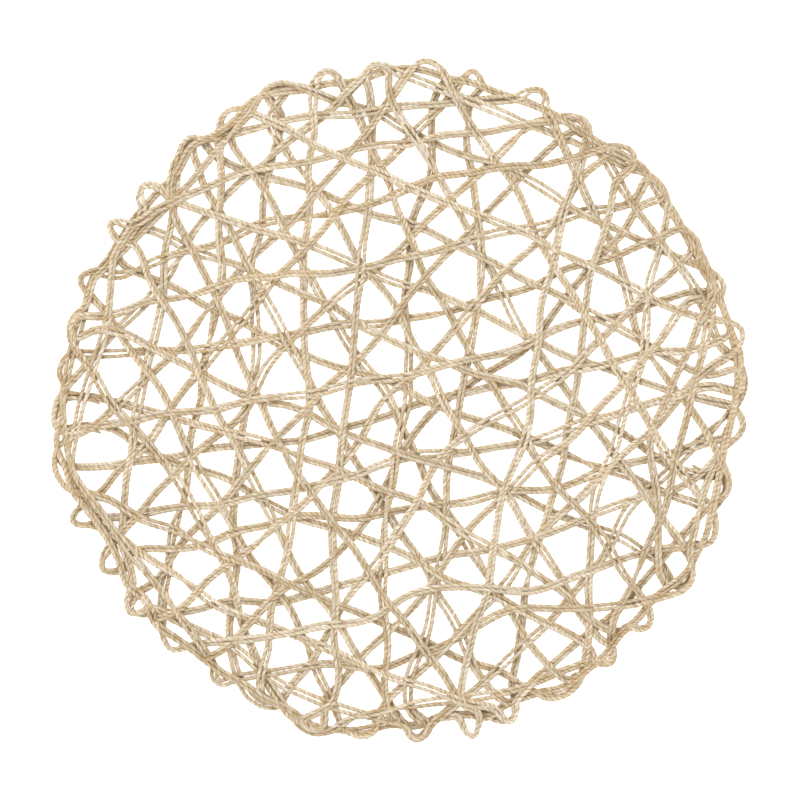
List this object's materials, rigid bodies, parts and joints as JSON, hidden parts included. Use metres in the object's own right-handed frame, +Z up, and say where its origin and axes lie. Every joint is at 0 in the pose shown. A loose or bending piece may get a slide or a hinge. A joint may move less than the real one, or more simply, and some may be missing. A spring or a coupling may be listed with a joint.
{
  "type": "round open-weave placemat",
  "caption": "Round flat table mat of twisted twine strands that cross in an open web, with a looped edge band.",
  "frame": {"origin": "middle of the underside, on the surface that the mat lies on", "axes": "+Z up through the mat's thickness, +X to the right and +Y away from a person sitting at the mat"},
  "size_m": [0.3852, 0.3776, 0.0044],
  "materials": {
    "twine": "matt twisted plant-fibre twine, light straw colour"
  },
  "bodies": {
    "root": {"woven_mat": "twine"}
  },
  "joints": []
}
